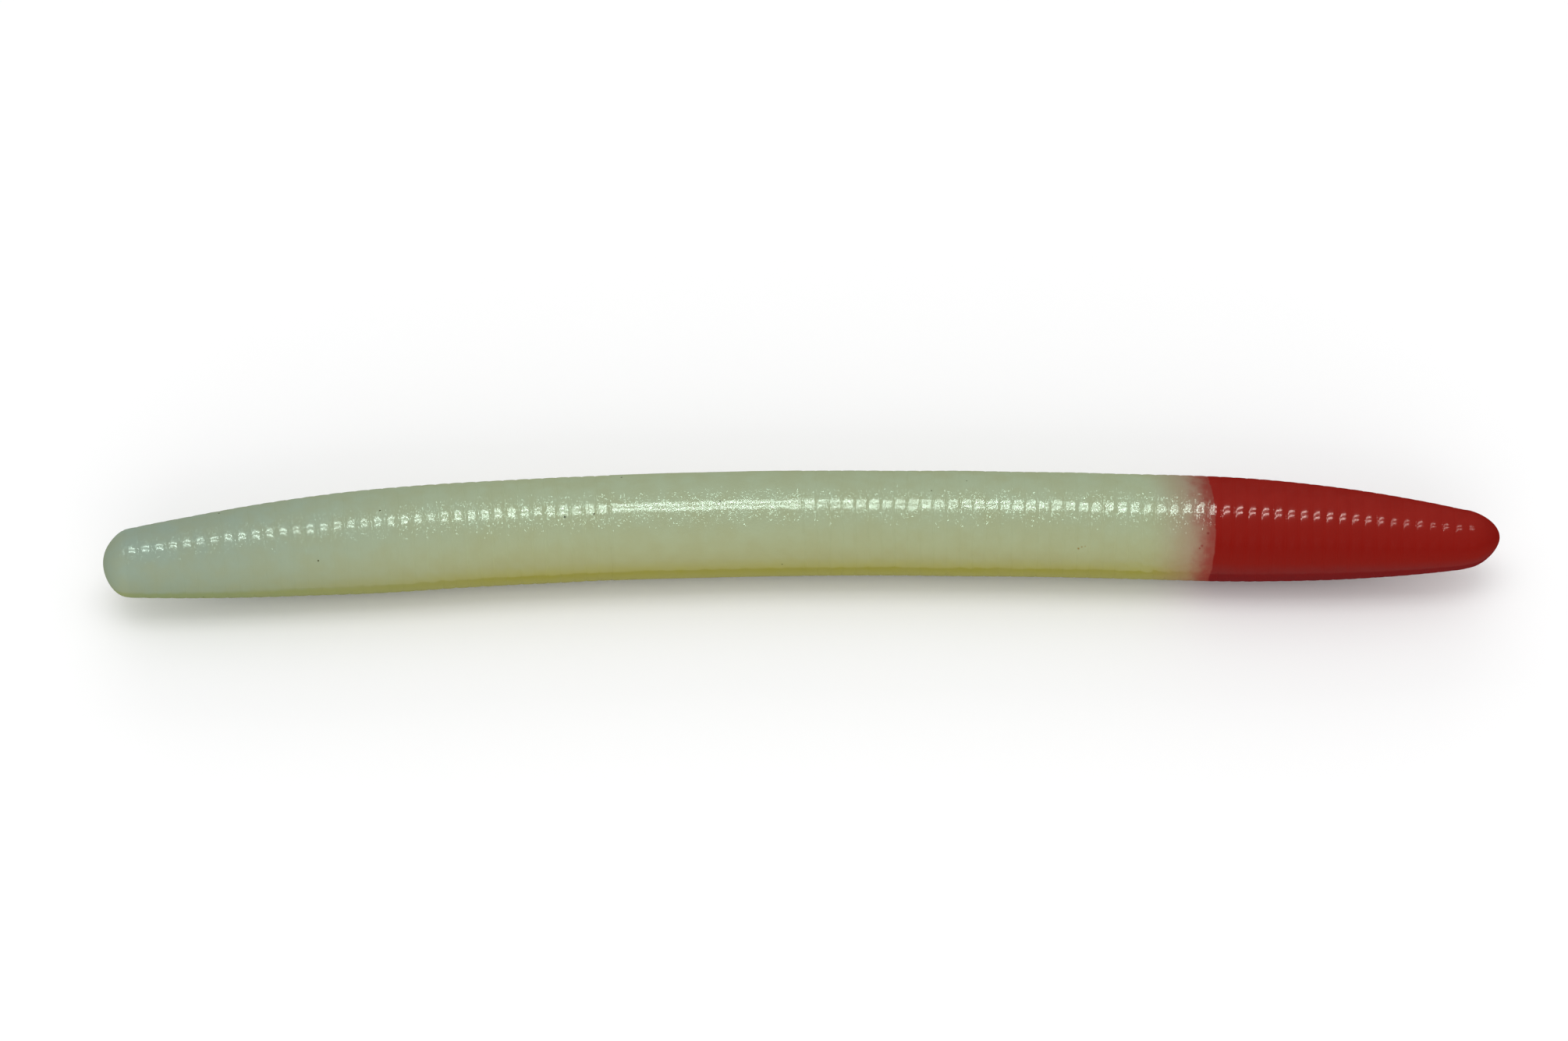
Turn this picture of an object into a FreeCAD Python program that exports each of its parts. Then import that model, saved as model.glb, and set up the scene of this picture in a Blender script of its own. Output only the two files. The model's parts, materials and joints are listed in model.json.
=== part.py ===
"""Ringed stick-bait worm: a pearl body with a red tail, as a chain of short lengths that bend.

The worm lies on a table with its nose towards -X and a slight sideways bow, and Z points up.
The origin is the middle of the smooth band, on the worm's own axis, and X runs along the band.

A station is a distance along the centreline from the nose, in millimetres. The rings are
counted outwards from the smooth band, towards the nose on one side and the tail on the other.
Each length ends in a dome that sits in the next length's socket. Both are spheres about the
point where the two lengths bend, so they never bite into each other, whichever way they turn.
"""

import FreeCAD, Part
import math
import os

# Overall form
LENGTH = 127.0  # nose to tail, along the centreline
BAND_RADIUS = 4.81  # of the smooth band, the thickest part
RADIUS = 4.79  # over the rings' crowns, through the middle of the worm

# How each end narrows: over this length, by this power, to this radius, then a rounded cap
NOSE_TAPER, NOSE_POWER, NOSE_RADIUS, NOSE_CAP = 29.1, 1.85, 2.85, 2.4
TAIL_TAPER, TAIL_POWER, TAIL_RADIUS, TAIL_CAP = 28.4, 2.1, 2.1, 3.0
TIP_STEPS = 8  # points along the curve of a cap

# Rings: the first groove on each side is an edge of the smooth band
BAND_START, BAND_END = 46.03, 63.6
RING_PITCH = 1.182  # beside the band, and all the way down the tail
NOSE_PITCH = 1.261  # at the nose, where the rings are a little wider
NOSE_RINGS, TAIL_RINGS = 36, 51
GROOVE_WIDTH, GROOVE_DEPTH = 0.28, 0.09

# Where the red tail is bonded to the pearl body, as a groove on the tail side
BOND_GROOVE = 31

# Bending: the first cut on each side, the rings in a length, and how many rings nearer the band
# than its cut a length bends
FIRST_CUT = 1
RINGS_PER_LENGTH = 4
PIVOT_SETBACK = 3
LAST_NOSE_CUT, LAST_TAIL_CUT = 33, 49
TWIST_STATION = 58.8  # the flat cut across the band, where the tail half twists
CLEARANCE = 0.05

# The resting bow, in the plane of the table: straight across at BOW_PEAK, and an arc each way
BOW_PEAK = 68.6
NOSE_BOW_RADIUS, TAIL_BOW_RADIUS = 413.0, 692.0

ORIGIN = FreeCAD.Vector(0, 0, 0)
ALONG = FreeCAD.Vector(1, 0, 0)


def nose_groove(number):
    """The station of a groove on the nose side; 0 is the band's edge, and below 0 is inside the band."""
    wider = max(number, 0) * (number - 1) / 2 / (NOSE_RINGS - 1)
    return BAND_START - RING_PITCH * number - (NOSE_PITCH - RING_PITCH) * wider


def tail_groove(number):
    """The station of a groove on the tail side; 0 is the band's edge, and below 0 is inside the band."""
    return BAND_END + RING_PITCH * number


def taper(distance, length, power, end_radius, cap):
    """The crown radius at a distance from one end of the worm."""
    radius = RADIUS
    if distance < length:
        radius -= (RADIUS - end_radius) * ((length - distance) / length) ** power
    if distance < cap:
        radius *= math.sqrt(max(0.0, 1 - (1 - distance / cap) ** 2))
    return radius


def crown_radius(station):
    """The radius over the rings' crowns."""
    nose = taper(station, NOSE_TAPER, NOSE_POWER, NOSE_RADIUS, NOSE_CAP)
    tail = taper(LENGTH - station, TAIL_TAPER, TAIL_POWER, TAIL_RADIUS, TAIL_CAP)
    return min(nose, tail)


def bow_point(station):
    """Where the bow puts a station of the centreline, measured from the bow's peak."""
    radius = NOSE_BOW_RADIUS if station < BOW_PEAK else TAIL_BOW_RADIUS
    turn = (station - BOW_PEAK) / radius
    return FreeCAD.Vector(radius * math.sin(turn), -radius * (1 - math.cos(turn)), 0)


def band_frame():
    """The placement that lays the band, which is straight, along X with its middle at the origin."""
    nose_end = bow_point(nose_groove(FIRST_CUT - PIVOT_SETBACK))
    tail_end = bow_point(tail_groove(FIRST_CUT - PIVOT_SETBACK))
    turn = FreeCAD.Rotation(tail_end - nose_end, ALONG)
    return FreeCAD.Placement(-turn.multVec((nose_end + tail_end) / 2), turn)


def place(station):
    """A point of the centreline."""
    return band_frame().multVec(bow_point(station))


class Length:
    """One length of the worm, drawn as a half section along its own straight axis and turned round it.

    start is the station the axis begins at, aim the one it points to, and along a section
    u is the distance from start. side is -1 towards the nose and +1 towards the tail.
    """

    def __init__(self, start, aim):
        self.start = start
        self.side = 1 if aim > start else -1
        self.base = place(start)
        self.axis = (place(aim) - self.base).normalize()
        self.edges = []
        self.pen = None

    def u(self, station):
        return (station - self.start) * self.side

    def move_to(self, u, radius):
        self.pen = FreeCAD.Vector(u, 0, radius)

    def line_to(self, u, radius):
        end = FreeCAD.Vector(u, 0, radius)
        self.edges.append(Part.makeLine(self.pen, end))
        self.pen = end

    def arc_to(self, middle, end):
        """An arc through middle to end, both as (u, radius)."""
        through = FreeCAD.Vector(middle[0], 0, middle[1])
        end = FreeCAD.Vector(end[0], 0, end[1])
        self.edges.append(Part.Arc(self.pen, through, end).toShape())
        self.pen = end

    def on_sphere(self, centre, sphere, angle):
        """A point of a sphere about a station on the axis, at an angle from the axis."""
        return self.u(centre) + sphere * math.cos(angle), sphere * math.sin(angle)

    def in_groove(self, station, offset):
        """A point of a groove's round bottom, at an offset from its middle."""
        bend = (GROOVE_WIDTH**2 / 4 + GROOVE_DEPTH**2) / (2 * GROOVE_DEPTH)
        rise = bend - math.sqrt(bend**2 - offset**2)
        crown = crown_radius(station + offset * self.side)
        return self.u(station) + offset, crown - GROOVE_DEPTH + rise

    def socket(self, centre, sphere, rim):
        """Draw from the axis out along a sphere to the outside, at the groove where the length begins."""
        across = math.asin(min(1.0, (crown_radius(rim) - GROOVE_DEPTH) / sphere))
        offset = self.on_sphere(centre, sphere, across)[0] - self.u(rim)
        edge = self.in_groove(rim, offset)
        edge_angle = math.atan2(edge[1], edge[0] - self.u(centre))
        self.move_to(*self.on_sphere(centre, sphere, 0))
        self.arc_to(self.on_sphere(centre, sphere, edge_angle / 2), edge)
        self.leave_groove(rim, offset)

    def leave_groove(self, rim, offset):
        """Draw from inside a groove up to the crown on its far side."""
        half = GROOVE_WIDTH / 2
        self.arc_to(self.in_groove(rim, (offset + half) / 2), self.in_groove(rim, half))

    def rings(self, grooves):
        """Draw crowns and the whole grooves between them."""
        half = GROOVE_WIDTH / 2
        for groove in grooves:
            self.line_to(*self.in_groove(groove, -half))
            self.arc_to(self.in_groove(groove, 0), self.in_groove(groove, half))

    def dome(self, centre, sphere, rim):
        """Draw from the crown into the groove where the length ends, then along a sphere to the axis."""
        half = GROOVE_WIDTH / 2
        self.line_to(*self.in_groove(rim, -half))
        self.arc_to(self.in_groove(rim, -half / 2), self.in_groove(rim, 0))
        edge_angle = math.atan2(self.pen.z, self.pen.x - self.u(centre))
        self.arc_to(
            self.on_sphere(centre, sphere, edge_angle / 2),
            self.on_sphere(centre, sphere, 0),
        )

    def tip(self, last_groove, end):
        """Draw the smooth rounded end of the worm, from the far side of the last groove."""
        smooth = abs(end - last_groove) - GROOVE_WIDTH / 2
        points = [self.pen]
        for step in range(1, TIP_STEPS + 1):
            distance = smooth * (1 - math.sin(math.pi / 2 * step / TIP_STEPS))
            radius = crown_radius(end - distance * self.side)
            points.append(FreeCAD.Vector(self.u(end) - distance, 0, radius))
        curve = Part.BSplineCurve()
        inwards = FreeCAD.Vector(0, 0, -1)
        curve.interpolate(points, InitialTangent=points[1] - points[0], FinalTangent=inwards)
        self.edges.append(curve.toShape())
        self.pen = points[-1]

    def solid(self):
        """Close the section along the axis, turn it round the axis and put it in its place."""
        first = self.edges[0].Vertexes[0].Point
        wire = Part.Wire(self.edges + [Part.makeLine(self.pen, first)])
        shape = Part.Face(wire).revolve(ORIGIN, ALONG, 360)
        turn = FreeCAD.Rotation(ALONG, self.axis)
        shape.Placement = FreeCAD.Placement(self.base, turn)
        return shape


def joint_sphere(groove, cut):
    """A joint's centre station, and the radius of its sphere through the groove at the cut."""
    centre, rim = groove(cut - PIVOT_SETBACK), groove(cut)
    return centre, math.hypot(rim - centre, crown_radius(rim) - GROOVE_DEPTH)


def ringed_length(groove, cut):
    """A length with RINGS_PER_LENGTH rings, whose nearer end to the band is at this cut."""
    far = cut + RINGS_PER_LENGTH
    near_centre, near_sphere = joint_sphere(groove, cut)
    far_centre, far_sphere = joint_sphere(groove, far)
    piece = Length(near_centre, far_centre)
    piece.socket(near_centre, near_sphere + CLEARANCE, groove(cut))
    piece.rings(groove(number) for number in range(cut + 1, far))
    piece.dome(far_centre, far_sphere, groove(far))
    return piece.solid()


def end_length(groove, cut, last_groove, end):
    """The outermost length on one side, from its cut to the rounded end."""
    centre, sphere = joint_sphere(groove, cut)
    piece = Length(centre, end)
    piece.socket(centre, sphere + CLEARANCE, groove(cut))
    piece.rings(groove(number) for number in range(cut + 1, last_groove + 1))
    piece.tip(groove(last_groove), end)
    return piece.solid()


def bonded_lengths(cut):
    """The length that holds the bond: its pearl part and its red part, which share a domed face."""
    far = cut + RINGS_PER_LENGTH
    near_centre, near_sphere = joint_sphere(tail_groove, cut)
    bond_centre, bond_sphere = joint_sphere(tail_groove, BOND_GROOVE)
    far_centre, far_sphere = joint_sphere(tail_groove, far)
    pearl = Length(near_centre, far_centre)
    pearl.socket(near_centre, near_sphere + CLEARANCE, tail_groove(cut))
    pearl.rings(tail_groove(number) for number in range(cut + 1, BOND_GROOVE))
    pearl.dome(bond_centre, bond_sphere, tail_groove(BOND_GROOVE))
    red = Length(near_centre, far_centre)
    red.socket(bond_centre, bond_sphere, tail_groove(BOND_GROOVE))
    red.rings(tail_groove(number) for number in range(BOND_GROOVE + 1, far))
    red.dome(far_centre, far_sphere, tail_groove(far))
    return pearl.solid(), red.solid()


def band_length(groove, other, twist_face):
    """Part of the smooth band, from the flat twisting face out to the first cut on one side."""
    centre, sphere = joint_sphere(groove, FIRST_CUT)
    other_centre = joint_sphere(other, FIRST_CUT)[0]
    piece = Length(other_centre, centre)
    band_end = piece.u(groove(0)) - GROOVE_WIDTH / 2
    piece.move_to(piece.u(twist_face), 0)
    piece.line_to(piece.u(twist_face), BAND_RADIUS)
    piece.line_to(band_end, BAND_RADIUS)
    piece.line_to(band_end, RADIUS)
    piece.arc_to(piece.in_groove(groove(0), 0), piece.in_groove(groove(0), GROOVE_WIDTH / 2))
    piece.dome(centre, sphere, groove(FIRST_CUT))
    return piece.solid()


def nose_side():
    """The pearl lengths in front of the band, numbered from the nose."""
    cuts = range(FIRST_CUT, LAST_NOSE_CUT, RINGS_PER_LENGTH)
    pieces = {
        f"nose_rings_{len(cuts) - count}": ringed_length(nose_groove, cut)
        for count, cut in enumerate(cuts)
    }
    pieces["nose_tip"] = end_length(nose_groove, LAST_NOSE_CUT, NOSE_RINGS, 0.0)
    return pieces


def tail_side():
    """The pearl lengths behind the band and the red ones after them, numbered from the band."""
    pieces = {}
    red = 1
    for cut in range(FIRST_CUT, LAST_TAIL_CUT, RINGS_PER_LENGTH):
        number = 1 + (cut - FIRST_CUT) // RINGS_PER_LENGTH
        if cut + RINGS_PER_LENGTH < BOND_GROOVE:
            pieces[f"back_rings_{number}"] = ringed_length(tail_groove, cut)
        elif cut < BOND_GROOVE:
            pearl_part, red_part = bonded_lengths(cut)
            pieces[f"back_rings_{number}"] = pearl_part
            pieces[f"red_tail_{red}"] = red_part
        else:
            red += 1
            pieces[f"red_tail_{red}"] = ringed_length(tail_groove, cut)
    pieces["red_tail_tip"] = end_length(tail_groove, LAST_TAIL_CUT, TAIL_RINGS, LENGTH)
    return pieces


def band():
    """The smooth band, in two lengths that meet at the flat twisting face."""
    return {
        "band_front": band_length(nose_groove, tail_groove, TWIST_STATION),
        "band_rear": band_length(tail_groove, nose_groove, TWIST_STATION + CLEARANCE),
    }


def main():
    os.makedirs("parts", exist_ok=True)
    for node, shape in {**band(), **nose_side(), **tail_side()}.items():
        shape.exportStep(f"parts/{node}.step")


if __name__ == "__main__":
    main()
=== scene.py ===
import json
import math
import bpy
import numpy as np
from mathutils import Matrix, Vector

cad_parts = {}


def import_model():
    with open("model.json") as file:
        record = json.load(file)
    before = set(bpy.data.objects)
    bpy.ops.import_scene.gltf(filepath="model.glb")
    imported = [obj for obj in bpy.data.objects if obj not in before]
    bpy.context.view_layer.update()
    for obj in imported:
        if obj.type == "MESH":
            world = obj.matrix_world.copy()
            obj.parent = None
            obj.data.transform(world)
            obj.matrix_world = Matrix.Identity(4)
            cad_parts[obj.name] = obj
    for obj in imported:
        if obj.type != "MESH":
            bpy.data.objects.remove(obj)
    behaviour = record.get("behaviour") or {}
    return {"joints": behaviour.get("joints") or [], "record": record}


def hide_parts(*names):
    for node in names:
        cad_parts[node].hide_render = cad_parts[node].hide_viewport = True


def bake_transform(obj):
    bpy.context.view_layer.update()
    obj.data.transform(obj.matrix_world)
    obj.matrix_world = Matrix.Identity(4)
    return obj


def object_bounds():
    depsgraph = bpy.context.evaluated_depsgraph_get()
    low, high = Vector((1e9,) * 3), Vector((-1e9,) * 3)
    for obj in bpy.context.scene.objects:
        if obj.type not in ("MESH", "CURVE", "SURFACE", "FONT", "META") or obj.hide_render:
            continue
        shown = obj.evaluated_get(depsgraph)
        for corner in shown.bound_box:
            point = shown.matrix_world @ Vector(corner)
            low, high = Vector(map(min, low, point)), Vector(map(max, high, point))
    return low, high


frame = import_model()
CAD_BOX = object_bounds()

# The worm's skin, in place of the CAD's stiff lengths, then its materials, the floor, lights and camera.
# Lengths are in millimetres until MM turns them into Blender's metres. A station is a distance along
# the worm from the middle of the smooth band, below 0 towards the nose. An angle goes round the worm
# from its top, down its front side.
MM = 0.001

# Driving dimensions, the same as the CAD's
LENGTH = 127.0
NOSE_END = -54.815
TAIL_END = NOSE_END + LENGTH
BAND_RADIUS, RADIUS = 4.81, 4.79
NOSE_TAPER = {"length": 29.1, "power": 1.85, "end_radius": 2.85, "cap": 2.4}
TAIL_TAPER = {"length": 28.4, "power": 2.1, "end_radius": 2.1, "cap": 3.0}
BAND_HALF = 8.785
RING_PITCH, NOSE_PITCH = 1.182, 1.261
NOSE_RINGS, TAIL_RINGS = 36, 51
BOND_GROOVE = 31
RINGS_PER_LENGTH = 4
PIVOT_SETBACK = 3
NOSE, TAIL = -1, 1

# Fineness of the skin
COLUMNS = 192
RING_ROWS = 13
CROWDING = 0.6  # of a ring's rows towards its grooves, from 0, evenly spaced, to 1
BAND_STEP = 0.2
TIP_ROWS = 22

# Unevenness of the moulding: how much of each kind, and how far across its lumps are
STRAY, STRAY_SIZE = 0.03, 5
SWELL, SWELL_SIZE = 0.015, 5
RED_RIPPLE, PEARL_RIPPLE, RIPPLE_SIZE = 0.002, 0.005, 0.7
WRINKLE, WRINKLE_SIZE = 0.006, 0.45
RING_LEAN = 0.01  # the most a ring leans, as a slope
TAIL_LEAN, TAIL_LEAN_LENGTH = 0.45, 4.5
NOSE_FLATNESS = 0.06  # as a share of the radius

# Ring grooves: how far their sides reach, fine beside the band and broader on the nose and on the red.
# The clear outer skin mirrors light as if they were sharp. The skin's shape has only a share of their
# depth, less where they are broad.
FINE_REACH, NOSE_REACH, RED_REACH = 0.09, 0.25, 0.19
GROOVE_SLOPE = 0.9
BROAD_SHARE, FINE_SHARE = 0.2, 0.38
RINGS_BLUR, RADIUS_BLUR = 0.1, 0.15  # how gradually the rings and their radius begin at the band's edge


def groove(side, number):
    """The station of a ring groove; 0 is the band's edge, and below 0 is inside the band."""
    wider = (NOSE_PITCH - RING_PITCH) * max(number, 0) * (number - 1) / 2 / (NOSE_RINGS - 1)
    return side * (BAND_HALF + RING_PITCH * number + (wider if side == NOSE else 0))


def smooth(low, high, value):
    """0 below low, 1 above high, and a smooth rise between."""
    t = np.clip((value - low) / (high - low), 0, 1)
    return t * t * (3 - 2 * t)


def taper(distance, length, power, end_radius, cap):
    """The radius over the crowns at a distance from one end."""
    inside = np.clip(1 - distance / length, 0, 1)
    rounded = np.clip(1 - distance / cap, 0, 1)
    return (RADIUS - (RADIUS - end_radius) * inside**power) * np.sqrt(1 - rounded**2)


def crown_radius(station):
    """The radius over the crowns anywhere along the worm."""
    return np.minimum(taper(station - NOSE_END, **NOSE_TAPER), taper(TAIL_END - station, **TAIL_TAPER))


def waves(station, angle, size, seed, count=24):
    """A smooth random pattern over the skin, about -1 to 1, with lumps about size across."""
    dice = np.random.default_rng(seed)
    total = np.zeros(np.broadcast(station, angle).shape)
    for _ in range(count):
        heading = dice.uniform(0, 2 * math.pi)
        wave = 2 * math.pi / (2 * size * dice.uniform(0.7, 1.5))
        around = round(RADIUS * wave * math.sin(heading))
        total += np.cos(wave * math.cos(heading) * station + around * angle + dice.uniform(0, 2 * math.pi))
    return total / math.sqrt(count)


# Rows of the skin


def ring_rows(side, number):
    """Stations across one ring, close together beside its grooves."""
    start, end = groove(side, number), groove(side, number + 1)
    t = np.arange(RING_ROWS) / RING_ROWS
    return start + (end - start) * (t - CROWDING * np.sin(2 * math.pi * t) / (2 * math.pi))


def side_rows(side, rings, end):
    """Stations from the band's edge to one end of the worm."""
    rows = [ring_rows(side, number) for number in range(rings)]
    last = groove(side, rings)
    turn = math.pi / 2 * np.arange(TIP_ROWS) / TIP_ROWS
    rows.append(last + (end - last) * np.sin(turn))
    return np.concatenate(rows)


def band_rows():
    """Stations across the smooth band, with rows at both ends of the band's middle piece."""
    inner = groove(TAIL, -RINGS_PER_LENGTH)
    edge = np.linspace(inner, BAND_HALF, round((BAND_HALF - inner) / BAND_STEP), endpoint=False)
    middle = np.linspace(-inner, inner, round(2 * inner / BAND_STEP), endpoint=False)[1:]
    return np.concatenate([-edge[::-1], middle, edge])


def all_rows():
    """Every row's station, from nose to tail."""
    nose = side_rows(NOSE, NOSE_RINGS, NOSE_END)
    tail = side_rows(TAIL, TAIL_RINGS, TAIL_END)
    return np.concatenate([nose[::-1], band_rows(), tail])


# Centreline


def side_joints(prefix):
    """The joints of one side, outwards from the band."""
    return [joint for joint in frame["joints"] if joint["name"].startswith(prefix)]


def knots():
    """Stations and places, in mm, that the centreline goes through: the joints, and the two ends."""
    known = {}
    for side, prefix in ((NOSE, "nose_curl"), (TAIL, "tail_curl")):
        for count, joint in enumerate(side_joints(prefix)):
            number = RINGS_PER_LENGTH * count + 1 - PIVOT_SETBACK
            known[groove(side, number)] = np.array(joint["pos_m"]) / MM
    stations = sorted(known)
    places = [known[station] for station in stations]
    for end, near, far in ((NOSE_END, 0, 1), (TAIL_END, -1, -2)):
        slope = (places[near] - places[far]) / (stations[near] - stations[far])
        known[end] = places[near] + slope * (end - stations[near])
    stations = sorted(known)
    return np.array(stations), np.array([known[station] for station in stations])


KNOTS, PLACES = knots()


def centreline(station):
    """Points of a smooth curve through the knots."""
    slopes = np.gradient(PLACES, KNOTS, axis=0)
    i = np.clip(np.searchsorted(KNOTS, station) - 1, 0, len(KNOTS) - 2)
    step = (KNOTS[i + 1] - KNOTS[i])[:, None]
    t = (station - KNOTS[i])[:, None] / step
    rise = t * t * (3 - 2 * t)
    bend = step * (t * (1 - t) ** 2 * slopes[i] - t**2 * (1 - t) * slopes[i + 1])
    return PLACES[i] * (1 - rise) + PLACES[i + 1] * rise + bend


# Skin


def ring_marks():
    """The stations of all grooves, from nose to tail."""
    nose = [groove(NOSE, number) for number in range(NOSE_RINGS + 1)]
    tail = [groove(TAIL, number) for number in range(TAIL_RINGS + 1)]
    return np.sort(np.array(nose + tail))


def groove_reach(station):
    """How far each side of a groove reaches along the worm: broader from the band to the nose."""
    beyond_band = smooth(-BAND_HALF + RINGS_BLUR, -BAND_HALF - RINGS_BLUR, station)
    to_nose = beyond_band * (0.35 + 0.65 * smooth(-10, -32, station))
    to_red = smooth(-16, 1.5, station - groove(TAIL, BOND_GROOVE))
    return FINE_REACH + (NOSE_REACH - FINE_REACH) * to_nose + (RED_REACH - FINE_REACH) * to_red


def sharp_grooves(station):
    """The grooves at full sharpness, as heights below the crowns."""
    marks = ring_marks()
    i = np.clip(np.searchsorted(marks, station), 1, len(marks) - 1)
    nearest = np.minimum(np.abs(station - marks[i - 1]), np.abs(station - marks[i]))
    reach = groove_reach(station)
    return -GROOVE_SLOPE * reach * np.exp(-nearest / reach)


def wander(station, angle):
    """How far the grooves stray from true circles."""
    return STRAY * waves(station, angle, STRAY_SIZE, seed=1)


def ring_tilt(station):
    """Each pearl ring leans and stands a little differently from its neighbours."""
    marks = ring_marks()
    i = np.clip(np.searchsorted(marks, station), 1, len(marks) - 1)
    dice = np.random.default_rng(4)
    lean = dice.uniform(-1, 1, len(marks))[i]
    from_middle = station - (marks[i - 1] + marks[i]) / 2
    off_band = smooth(BAND_HALF - RINGS_BLUR, BAND_HALF + RINGS_BLUR, np.abs(station))
    pearl_only = smooth(0.5, -0.5, station - groove(TAIL, BOND_GROOVE))
    return RING_LEAN * lean * from_middle * off_band * pearl_only


def wrinkles(station, angle):
    """Where the red was bonded on, the pearl is puckered."""
    from_bond = station - groove(TAIL, BOND_GROOVE)
    where = smooth(-11, -4, from_bond) * smooth(1.8, 0.4, from_bond)
    return WRINKLE * where * waves(station, angle, WRINKLE_SIZE, seed=5, count=60)


def relief(station, angle):
    """Height of the skin over the plain crowns."""
    strayed = station + wander(station, angle)
    on_pearl = smooth(1.2, 0.4, station - groove(TAIL, BOND_GROOVE))
    broad = smooth(-12, -32, station) + smooth(30, 46, station)
    share = FINE_SHARE + (BROAD_SHARE - FINE_SHARE) * broad
    height = share * sharp_grooves(strayed) + ring_tilt(strayed)
    height = height + wrinkles(station, angle)
    height = height + SWELL * waves(station, angle, SWELL_SIZE, seed=2)
    ripple = RED_RIPPLE + (PEARL_RIPPLE - RED_RIPPLE) * on_pearl
    return height + ripple * waves(station, angle, RIPPLE_SIZE, seed=3, count=40)


def end_lean(station):
    """The tip of the tail leans back a little."""
    back = TAIL_LEAN * smooth(TAIL_END - TAIL_LEAN_LENGTH, TAIL_END, station)
    return back[..., None] * np.array([0, 1, 0])


def nose_shape(station, angle):
    """The end of the nose is a little flatter high on its back, and fuller low on its front."""
    at_end = smooth(NOSE_END + 2.4, NOSE_END + 0.6, station)
    return 1 - NOSE_FLATNESS * at_end * np.cos(angle + math.pi / 4)


def skin_points():
    """The whole skin, as rows by columns: its stations, places, unbent places and groove heights."""
    station = all_rows()[:, None]
    angle = (2 * math.pi * np.arange(COLUMNS) / COLUMNS)[None, :]
    crown = crown_radius(station)
    on_band = smooth(BAND_HALF + RADIUS_BLUR, BAND_HALF - RADIUS_BLUR, np.abs(station))
    crown = crown + (BAND_RADIUS - RADIUS) * on_band
    radius = (crown + relief(station, angle) * crown / RADIUS) * nose_shape(station, angle)
    middle = centreline(station[:, 0])[:, None, :] + end_lean(station)
    along = np.gradient(middle, station[:, 0], axis=0)
    side = np.stack([-along[..., 1], along[..., 0], 0 * along[..., 0]], axis=-1)
    side /= np.linalg.norm(side, axis=-1, keepdims=True)
    up = np.array([0, 0, 1])
    places = middle + radius[..., None] * (np.cos(angle)[..., None] * up - np.sin(angle)[..., None] * side)
    rest = np.stack([station + 0 * angle, radius * np.cos(angle), radius * np.sin(angle)], axis=-1)
    grooves = sharp_grooves(station + wander(station, angle))
    return station[:, 0], places, rest, grooves


def skin_normals(station, places):
    """Normals of the whole skin, so that its pieces shade alike where they meet."""
    along = np.gradient(places, station, axis=0)
    around = np.roll(places, -1, axis=1) - np.roll(places, 1, axis=1)
    normals = np.cross(around, along)
    return normals / np.linalg.norm(normals, axis=-1, keepdims=True)


STATIONS, SKIN, REST, GROOVES = skin_points()
NORMALS = skin_normals(STATIONS, SKIN)


def row_at(station):
    """The row of the skin nearest a station."""
    return int(np.argmin(np.abs(STATIONS - station)))


def pole(end):
    """The point that closes one end of the worm: its place, its rest place and its normal."""
    beside = end + (0.1 if end == NOSE_END else -0.1)
    place, inside = centreline(np.array([end, beside])) + end_lean(np.array([end, beside]))
    outwards = place - inside
    return place, np.array([end, 0, 0]), outwards / np.linalg.norm(outwards)


def skin_piece(name, start, end):
    """The skin between two stations as a mesh object; an end of the worm is closed with a point."""
    first, last = sorted((row_at(start), row_at(end)))
    parts = [array[first : last + 1].reshape(-1, 3) for array in (SKIN, REST, NORMALS)]
    grooves = GROOVES[first : last + 1].ravel()
    row, column = np.meshgrid(np.arange(last - first), np.arange(COLUMNS), indexing="ij")
    beside = (column + 1) % COLUMNS
    corners = [row * COLUMNS + column, row * COLUMNS + beside]
    corners += [(row + 1) * COLUMNS + beside, (row + 1) * COLUMNS + column]
    faces = np.stack(corners, axis=-1).reshape(-1, 4).tolist()
    if end in (NOSE_END, TAIL_END):
        point = len(grooves)
        parts = [np.vstack([part, extra]) for part, extra in zip(parts, pole(end))]
        grooves = np.append(grooves, 0)
        edge = np.arange(COLUMNS) + (0 if end == NOSE_END else point - COLUMNS)
        pairs = list(zip(edge.tolist(), np.roll(edge, -1).tolist()))
        faces += [(far, near, point) if end == NOSE_END else (near, far, point) for near, far in pairs]
    points, rest, normals = parts
    mesh = bpy.data.meshes.new(name)
    mesh.from_pydata((points * MM).tolist(), [], faces)
    mesh.attributes.new("rest", "FLOAT_VECTOR", "POINT").data.foreach_set("vector", rest.ravel())
    mesh.attributes.new("groove", "FLOAT", "POINT").data.foreach_set("value", grooves)
    mesh.shade_smooth()
    mesh.normals_split_custom_set_from_vertices(normals.tolist())
    piece = bpy.data.objects.new(name, mesh)
    bpy.context.scene.collection.objects.link(piece)
    return piece


# Materials


def colour(red, green, blue):
    """A colour from its 0 to 255 screen values, as the linear values that shaders use."""
    linear = [((value / 255 + 0.055) / 1.055) ** 2.4 for value in (red, green, blue)]
    return (*linear, 1)


# The edge of the red
EDGE_PEAK = 46.2  # the furthest station along it
EDGE_BOW, EDGE_BOW_OFFSET = 0.6, 0.15  # how much it curves round the worm, and from where
EDGE_WAVE = 0.06

# Mottling of each plastic: its colour, size and greatest share
PEARL_MOTTLE = {"shade": colour(146, 142, 92), "size": 2.2, "most": 0.2}
RED_MOTTLE = {"shade": colour(120, 22, 18), "size": 1.5, "most": 0.25}
NOSE_COLOUR = (-54, -14)  # the stations between which the nose's colour turns into the body's
SPECK_SIZE, SPECK_GAP = 0.11, 3.2

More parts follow.
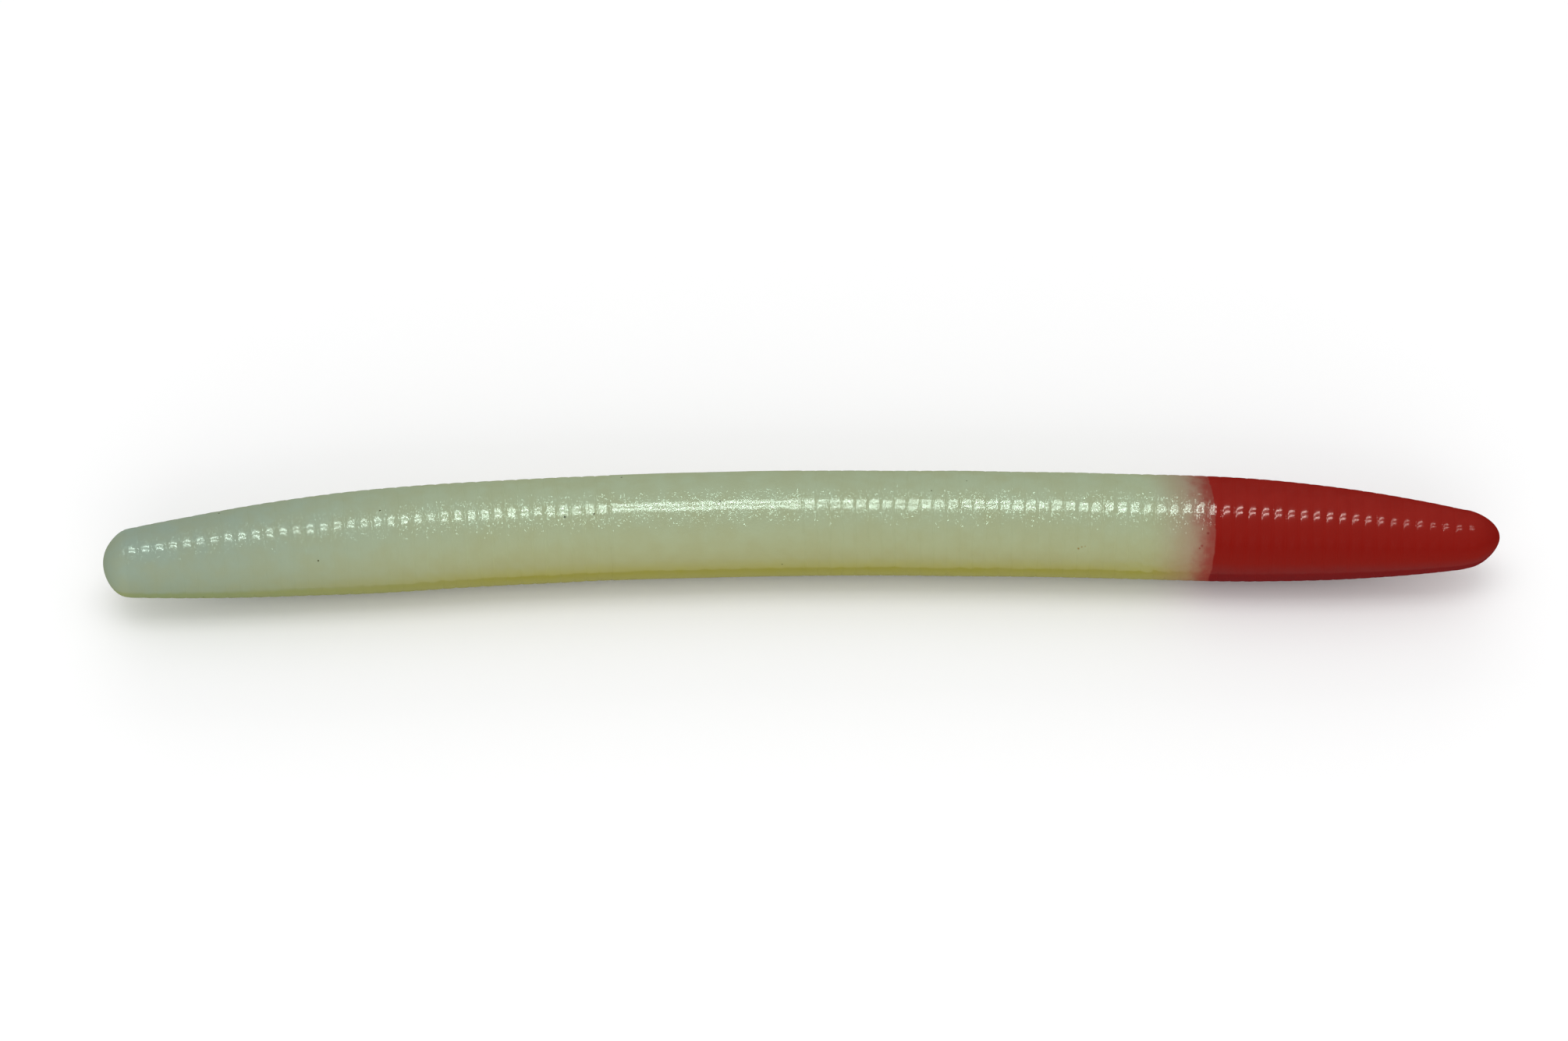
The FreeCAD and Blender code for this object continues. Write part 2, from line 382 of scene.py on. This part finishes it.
# The red's stain in the pearl, a wide faint one and a strong ragged one: distances from the red's edge
# where it begins and is fullest, and its share at each
FAINT_STAIN = (-6.5, -0.6, 0.0, 0.72)
STRONG_STAIN = (-2.6, 0.2, 0.0, 0.95)
RAGGED, RAGGED_SIZE = 0.3, 0.8

# The pearl's finish at the nose and along the body, and the stations between which it changes: shares
# of mica and of gloss, the gloss's roughness, and the depth of its grain
NOSE_FINISH = {"mica": 0.01, "gloss": 0.038, "frost": 0.14, "grain": 0.003}
BODY_FINISH = {"mica": 0.03, "gloss": 0.048, "frost": 0.115, "grain": 0.008}
FINISH_CHANGE = (-42, -12)
FLAKE_SIZE, FLAKE_TILT = 0.11, 0.6
PUCKER, PUCKER_SIZE = 0.03, 0.45
PEARL_ROUGHNESS, RED_ROUGHNESS = 0.4, 0.3
MICA_ROUGHNESS, RED_GLOSS_ROUGHNESS = 0.14, 0.13

# Spots on the pearl: station, angle, size and colour
SPOTS = [
    (-12.9, 31, 0.16, colour(28, 30, 24)),
    (45.5, 50, 0.2, colour(114, 44, 37)),
    (45.0, 64, 0.2, colour(126, 58, 50)),
    (44.8, 67, 0.14, colour(128, 62, 54)),
    (33.8, 71, 0.16, colour(132, 112, 62)),
    (34.1, 69, 0.12, colour(140, 122, 70)),
    (34.4, 68, 0.1, colour(146, 130, 78)),
]

# What the plastics look like from facing down, -1, to facing up, 1, with painted light and shade: lighter
# facing up, yellower and darker where less light gets in, and a darker band just below the side that stands
# for the shade under the worm
PEARL_TONE_AND_PAINTED_SHADE = [
    (-1.0, colour(150, 147, 95)),
    (-0.55, colour(152, 149, 88)),
    (-0.28, colour(142, 138, 64)),
    (-0.23, colour(141, 137, 62)),
    (-0.19, colour(152, 149, 86)),
    (0.10, colour(155, 157, 114)),
    (0.30, colour(156, 161, 122)),
    (0.80, colour(155, 166, 135)),
    (1.00, colour(160, 173, 143)),
]
NOSE_TONE_AND_PAINTED_SHADE = [
    (-1.0, colour(132, 142, 102)),
    (-0.32, colour(128, 140, 100)),
    (-0.20, colour(134, 146, 123)),
    (1.0, colour(138, 154, 139)),
]
RED_TONE_AND_PAINTED_SHADE = [
    (-1.0, colour(110, 38, 40)),
    (-0.27, colour(104, 26, 26)),
    (-0.20, colour(112, 38, 36)),
    (0.10, colour(120, 26, 20)),
    (0.45, colour(120, 20, 14)),
    (0.80, colour(127, 27, 21)),
    (1.00, colour(135, 34, 28)),
]


class Shader:
    """Adds nodes to one new material, and links them as it goes."""

    def __init__(self, name):
        self.material = bpy.data.materials.new(name)
        self.material.use_nodes = True
        self.tree = self.material.node_tree
        self.tree.nodes.clear()

    def add(self, kind, settings=None, **inputs):
        """A new node. Its inputs are plain values, or the output sockets of other nodes."""
        node = self.tree.nodes.new(kind)
        for name, value in (settings or {}).items():
            setattr(node, name, value)
        for name, value in inputs.items():
            key = int(name[1:]) if name[1:].isdigit() else name.replace("_", " ")
            if isinstance(value, bpy.types.NodeSocket):
                self.tree.links.new(value, node.inputs[key])
            else:
                node.inputs[key].default_value = value
        return node

    def math(self, operation, first, second=0.0):
        return self.add("ShaderNodeMath", {"operation": operation}, i0=first, i1=second).outputs[0]

    def step(self, value, low, high, to_low=0.0, to_high=1.0):
        """A smooth change from to_low to to_high as the value goes from low to high."""
        settings = {"interpolation_type": "SMOOTHSTEP"}
        node = self.add("ShaderNodeMapRange", settings, i0=value, i1=low, i2=high, i3=to_low, i4=to_high)
        return node.outputs[0]

    def blend(self, share, first, second):
        """A colour that is first at share 0 and second at share 1."""
        node = self.add("ShaderNodeMix", {"data_type": "RGBA"}, i0=share, i6=first, i7=second)
        return node.outputs[2]

    def noise(self, where, size, detail=2.0, stretch=(1, 1, 1)):
        """Smooth random values about 0.5, with lumps about size across, in mm."""
        scaled = self.add("ShaderNodeVectorMath", {"operation": "MULTIPLY"}, i0=where, i1=stretch).outputs[0]
        node = self.add("ShaderNodeTexNoise", Vector=scaled, Scale=1 / size, Detail=detail)
        return node.outputs[0]

    def attribute(self, name, output="Vector"):
        return self.add("ShaderNodeAttribute", {"attribute_name": name}).outputs[output]

    def finish(self, surface):
        self.add("ShaderNodeOutputMaterial", Surface=surface)
        return self.material


def split(shader, vector):
    return shader.add("ShaderNodeSeparateXYZ", Vector=vector).outputs


def ramp(shader, value, stops):
    """A colour read off a row of stops, as (value, colour)."""
    low, high = stops[0][0], stops[-1][0]
    share = shader.add("ShaderNodeMapRange", i0=value, i1=low, i2=high).outputs[0]
    node = shader.add("ShaderNodeValToRGB", Fac=share)
    elements = node.color_ramp.elements
    while len(elements) < len(stops):
        elements.new(0.5)
    for element, (place, shade) in zip(elements, stops):
        element.position = (place - low) / (high - low)
        element.color = shade
    return node.outputs[0]


def facing_up(shader):
    """How far the surface faces up, from -1 to 1."""
    normal = shader.add("ShaderNodeNewGeometry").outputs["Normal"]
    return split(shader, normal)[2]


def flakes(shader, rest, size, tilt):
    """Normals of tiny mica flakes that lie nearly flat in the surface, each its own way."""
    cells = shader.add("ShaderNodeTexVoronoi", Vector=rest, Scale=1 / size).outputs["Color"]
    normal = shader.add("ShaderNodeNewGeometry").outputs["Normal"]
    centred = shader.add("ShaderNodeVectorMath", {"operation": "SUBTRACT"}, i0=cells, i1=(0.5, 0.5, 0.5))
    scaled = shader.add("ShaderNodeVectorMath", {"operation": "SCALE"}, i0=centred.outputs[0], Scale=tilt)
    leaning = shader.add("ShaderNodeVectorMath", {"operation": "ADD"}, i0=normal, i1=scaled.outputs[0])
    return shader.add("ShaderNodeVectorMath", {"operation": "NORMALIZE"}, i0=leaning.outputs[0]).outputs[0]


def specks(shader, rest, size, apart):
    """1 in sparse dark specks of dirt, about apart from one another, and 0 elsewhere."""
    nearest = shader.add("ShaderNodeTexVoronoi", Vector=rest, Scale=1 / apart).outputs["Distance"]
    return shader.step(nearest, size / apart, 0.6 * size / apart)


def spot(shader, rest, station, angle, size):
    """1 inside one spot on the skin, and 0 elsewhere."""
    turn = math.radians(angle)
    centre = (station, RADIUS * math.cos(turn), RADIUS * math.sin(turn))
    away = shader.add("ShaderNodeVectorMath", {"operation": "DISTANCE"}, i0=rest, i1=centre).outputs["Value"]
    return shader.step(away, size, 0.1 * size)


def bond_distance(shader, rest):
    """How far beyond the curved, slightly wavy edge of the red a place is, in mm; below 0 is pearl."""
    station, top, front = split(shader, rest)
    level = shader.math("SUBTRACT", top, front)
    level = shader.math("MULTIPLY", level, math.sqrt(0.5) / RADIUS)
    off_peak = shader.math("ABSOLUTE", shader.math("ADD", level, EDGE_BOW_OFFSET))
    bow = shader.math("POWER", off_peak, 2)
    wave = shader.step(shader.noise(rest, 1.8), 0.3, 0.7, -EDGE_WAVE, EDGE_WAVE)
    edge = shader.math("SUBTRACT", EDGE_PEAK, shader.math("MULTIPLY", bow, EDGE_BOW))
    return shader.math("SUBTRACT", station, shader.math("ADD", edge, wave))


def mottled(shader, rest, body, shade, size, most):
    """A colour with soft patches of another shade in it."""
    share = shader.step(shader.noise(rest, size, detail=3), 0.3, 0.7, 0.0, most)
    return shader.blend(share, body, shade)


def stained(shader, rest, body):
    """The pearl beside the bond, where the red has bled into it."""
    beyond = bond_distance(shader, rest)
    tatter = shader.step(shader.noise(rest, RAGGED_SIZE, detail=4), 0.25, 0.75, -RAGGED, RAGGED)
    ragged = shader.math("ADD", beyond, tatter)
    body = shader.blend(shader.step(beyond, *FAINT_STAIN), body, colour(144, 102, 90))
    return shader.blend(shader.step(ragged, *STRONG_STAIN), body, colour(132, 50, 44))


def pearl_colour(shader, rest):
    """Greener at the nose, warmer along the body, with painted shade that darkens and yellows it where it
    faces down, mottled, stained at the bond, and with specks of dirt.
    """
    off_nose = shader.step(split(shader, rest)[0], *NOSE_COLOUR)
    up = facing_up(shader)
    # Painted light and shade by how far the surface faces up: lighter on top, yellower and darker below,
    # with a darker band just below the side.
    body = shader.blend(off_nose, ramp(shader, up, NOSE_TONE_AND_PAINTED_SHADE), ramp(shader, up, PEARL_TONE_AND_PAINTED_SHADE))
    body = mottled(shader, rest, body, **PEARL_MOTTLE)
    body = stained(shader, rest, body)
    body = shader.blend(specks(shader, rest, SPECK_SIZE, SPECK_GAP), body, colour(70, 68, 40))
    for station, angle, size, shade in SPOTS:
        body = shader.blend(spot(shader, rest, station, angle, size), body, shade)
    return body


def outer_normal(shader, rest, size, depth, pucker=0.0):
    """The normals of the clear outer skin: sharp ring grooves, and a grain of one size and depth."""
    grain = shader.math("MULTIPLY", shader.noise(rest, size), depth)
    height = shader.math("ADD", shader.attribute("groove", "Fac"), grain)
    height = shader.math("ADD", height, pucker)
    return shader.add("ShaderNodeBump", Strength=1.0, Distance=MM, Height=height).outputs[0]


def body_surface(shader, body, roughness):
    """The coloured plastic itself, with no mirrored light."""
    settings = {"Base_Color": body, "Roughness": roughness, "Specular_IOR_Level": 0.0}
    return shader.add("ShaderNodeBsdfPrincipled", **settings).outputs[0]


def shine(shader, under, share, tint, roughness, normal):
    """A surface that mirrors light with a small share of its area, over the surface under it."""
    settings = {"Base_Color": tint, "Metallic": 1.0, "Roughness": roughness, "Normal": normal}
    mirror = shader.add("ShaderNodeBsdfPrincipled", **settings).outputs[0]
    return shader.add("ShaderNodeMixShader", i0=share, i1=under, i2=mirror).outputs[0]


def pearl_surface(shader, rest):
    """Pearl pigment in a slightly clear plastic: a warm body, with mica flakes under a frosted skin."""
    station = split(shader, rest)[0]
    off_nose = shader.step(station, *FINISH_CHANGE)
    finish = {key: shader.step(off_nose, 0, 1, NOSE_FINISH[key], BODY_FINISH[key]) for key in NOSE_FINISH}
    beyond = bond_distance(shader, rest)

    surface = body_surface(shader, pearl_colour(shader, rest), PEARL_ROUGHNESS)
    mica = flakes(shader, rest, FLAKE_SIZE, FLAKE_TILT)
    surface = shine(shader, surface, finish["mica"], colour(205, 240, 220), MICA_ROUGHNESS, mica)

    near_bond = shader.step(beyond, -12, -3, 0.0, PUCKER)
    pucker = shader.math("MULTIPLY", shader.noise(rest, PUCKER_SIZE, stretch=(0.6, 1, 1)), near_bond)
    normal = outer_normal(shader, rest, 0.11, finish["grain"], pucker)
    frost = shader.math("SUBTRACT", finish["frost"], shader.step(beyond, -16, -6, 0.0, 0.025))
    gloss = shader.math("MULTIPLY", finish["gloss"], shader.step(station, -53.1, -52.4))
    return shine(shader, surface, gloss, colour(225, 250, 235), frost, normal)


def red_surface(shader, rest):
    """Deep red, clear and glossy, with painted shade that darkens it where it faces down, and duller towards
    the tip.
    """
    # Painted shade by how far the surface faces up: darker below, with a darker band just below the side.
    body = mottled(shader, rest, ramp(shader, facing_up(shader), RED_TONE_AND_PAINTED_SHADE), **RED_MOTTLE)
    surface = body_surface(shader, body, RED_ROUGHNESS)
    gloss = shader.step(split(shader, rest)[0], 56, 67, 0.028, 0.012)
    normal = outer_normal(shader, rest, 0.2, 0.0007)
    return shine(shader, surface, gloss, colour(255, 240, 232), RED_GLOSS_ROUGHNESS, normal)


def pearl():
    shader = Shader("pearl")
    return shader.finish(pearl_surface(shader, shader.attribute("rest")))


def red():
    shader = Shader("red")
    return shader.finish(red_surface(shader, shader.attribute("rest")))


def pearl_to_red():
    """Both plastics, either side of the bond."""
    shader = Shader("pearl_to_red")
    rest = shader.attribute("rest")
    share = shader.step(bond_distance(shader, rest), -0.08, 0.08)
    either = {"i1": pearl_surface(shader, rest), "i2": red_surface(shader, rest)}
    return shader.finish(shader.add("ShaderNodeMixShader", i0=share, **either).outputs[0])


def floor_paint():
    shader = Shader("floor")
    white = colour(250, 250, 250)
    base = shader.add("ShaderNodeBsdfPrincipled", Base_Color=white, Roughness=FLOOR_ROUGHNESS)
    return shader.finish(base.outputs[0])


# Pieces of the skin, each covering the rings round one joint

BOND_REACH = 3  # pieces this near the bond have both plastics in their material


def bend(piece, joint, start, end, material, slot):
    """Fix a piece's place into its mesh and give it its material."""
    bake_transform(piece)
    piece.data.materials.append(material)


def joint_named(name):
    return next(joint for joint in frame["joints"] if joint["name"] == name)


def skin_side(side, prefix, nodes, end, materials):
    """The skin of one side. Each piece covers the rings round one joint, and stands for one node."""
    joints = side_joints(prefix)
    for count, joint in enumerate(joints):
        near = groove(side, RINGS_PER_LENGTH * (count - 1))
        far = groove(side, RINGS_PER_LENGTH * count)
        cuts = [near, end if joint is joints[-1] else far]
        bond = groove(side, BOND_GROOVE)
        if side == TAIL and near < bond < far:
            cuts.insert(1, bond)
        for start, stop in zip(cuts, cuts[1:]):
            node = nodes.pop(0)
            piece = skin_piece(node + "_skin", start, stop)
            slot = "red" if "red" in node else "pearl"
            near_bond = side == TAIL and max(start - bond, bond - stop) < BOND_REACH
            material = materials["pearl_to_red" if near_bond else slot]
            bend(piece, joint, near, far, material, slot)
            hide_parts(node)
            if stop == end:
                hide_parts(nodes.pop(0))


def nodes_along(*starts):
    """The CAD's node names that begin in these ways, in the order the worm's bodies are joined."""
    return [node for body in frame["record"]["behaviour"]["bodies"].values() for node in body
            if node.startswith(starts)]


def skin():
    """The whole skin: both sides, and the middle of the band, round the twist joint."""
    materials = {"pearl": pearl(), "red": red(), "pearl_to_red": pearl_to_red()}
    skin_side(NOSE, "nose_curl", nodes_along("band_front", "nose"), NOSE_END, materials)
    skin_side(TAIL, "tail_curl", nodes_along("band_rear", "back", "red"), TAIL_END, materials)
    near, far = groove(NOSE, -RINGS_PER_LENGTH), groove(TAIL, -RINGS_PER_LENGTH)
    piece = skin_piece("band_middle_skin", near, far)
    bend(piece, joint_named("body_twist"), near, far, materials["pearl"], "pearl")


# Floor, lights and camera

FLOOR_SIZE = 3000
FLOOR_ROUGHNESS = 0.7
TUBE_GAP = 124
TUBE_SIZE = (820, 22)
TUBE_MIDDLE = (-150, -20, 620)
TUBE_POWER = 2.0
FILL_SIZE = (900, 500)
FILLS = {"overhead": ((8, 0, 900), 1.4), "front": ((8, -900, 300), 3.6), "back": ((8, 900, 300), 1.9)}
WORLD_POWER = 0.78
LENS = 135
SENSOR = 36
PHOTO_WIDTH = 142.8  # how much the picture's width takes in at the worm
PHOTO_MIDDLE = 7.06  # the station at the middle of the picture
PHOTO_RISE = 0.38  # how far above the centreline there the picture's middle is
CAMERA_TURN = -1.91  # of the camera round the worm, from square to the band, in degrees
CAMERA_HEIGHT = 45  # above the horizon, in degrees


def floor():
    mesh = bpy.data.meshes.new("floor")
    half, low = FLOOR_SIZE / 2 * MM, CAD_BOX[0].z
    corners = [(-half, -half, low), (half, -half, low), (half, half, low), (-half, half, low)]
    mesh.from_pydata(corners, [], [(0, 1, 2, 3)])
    plane = bpy.data.objects.new("floor", mesh)
    bpy.context.scene.collection.objects.link(plane)
    mesh.materials.append(floor_paint())
    plane.visible_glossy = False


def aim(thing, place, target):
    """Put a light or the camera at a place, looking at a target."""
    thing.location = Vector(place)
    thing.rotation_euler = (Vector(target) - Vector(place)).to_track_quat("-Z", "Y").to_euler()


def area_light(name, place, size, power, target=(8, 0, 0)):
    """A soft rectangular light, long side along X, aimed at a target."""
    light = bpy.data.lights.new(name, "AREA")
    light.shape = "RECTANGLE"
    light.size, light.size_y = size[0] * MM, size[1] * MM
    light.energy = power
    thing = bpy.data.objects.new(name, light)
    bpy.context.scene.collection.objects.link(thing)
    aim(thing, np.array(place) * MM, np.array(target) * MM)
    return thing


def lights():
    """Two long tubes nearly overhead, which the plastic mirrors, and soft fills, which it doesn't."""
    for across in (-TUBE_GAP / 2, TUBE_GAP / 2):
        x, y, z = TUBE_MIDDLE
        tube = area_light("tube", (x, y + across, z), TUBE_SIZE, TUBE_POWER, target=(x, 0, 0))
        tube.visible_diffuse = False
    for name, (place, power) in FILLS.items():
        fill = area_light(name, place, FILL_SIZE, power)
        fill.visible_glossy = False


def world():
    """Even light from all round, which the plastic doesn't mirror."""
    shade = bpy.data.worlds.new("studio")
    shade.use_nodes = True
    background = shade.node_tree.nodes["Background"]
    background.inputs[0].default_value = (1, 1, 1, 1)
    background.inputs[1].default_value = WORLD_POWER
    shade.cycles_visibility.glossy = False
    bpy.context.scene.world = shade
    bpy.context.scene.view_settings.view_transform = "Standard"


def camera():
    """A long lens from in front and above, as far off as makes the worm fill the picture as in the photo."""
    lens = bpy.data.cameras.new("camera")
    lens.lens, lens.sensor_width = LENS, SENSOR
    thing = bpy.data.objects.new("camera", lens)
    bpy.context.scene.collection.objects.link(thing)
    distance = PHOTO_WIDTH * LENS / SENSOR
    turn, height = math.radians(CAMERA_TURN), math.radians(CAMERA_HEIGHT)
    level = math.cos(height)
    back = np.array([math.sin(turn) * level, -math.cos(turn) * level, math.sin(height)])
    target = centreline(np.array([PHOTO_MIDDLE]))[0] + [0, 0, PHOTO_RISE]
    aim(thing, (target + back * distance) * MM, target * MM)
    lens.clip_start, lens.clip_end = distance / 20 * MM, distance * 20 * MM
    bpy.context.scene.camera = thing


skin()
floor()
lights()
world()
camera()
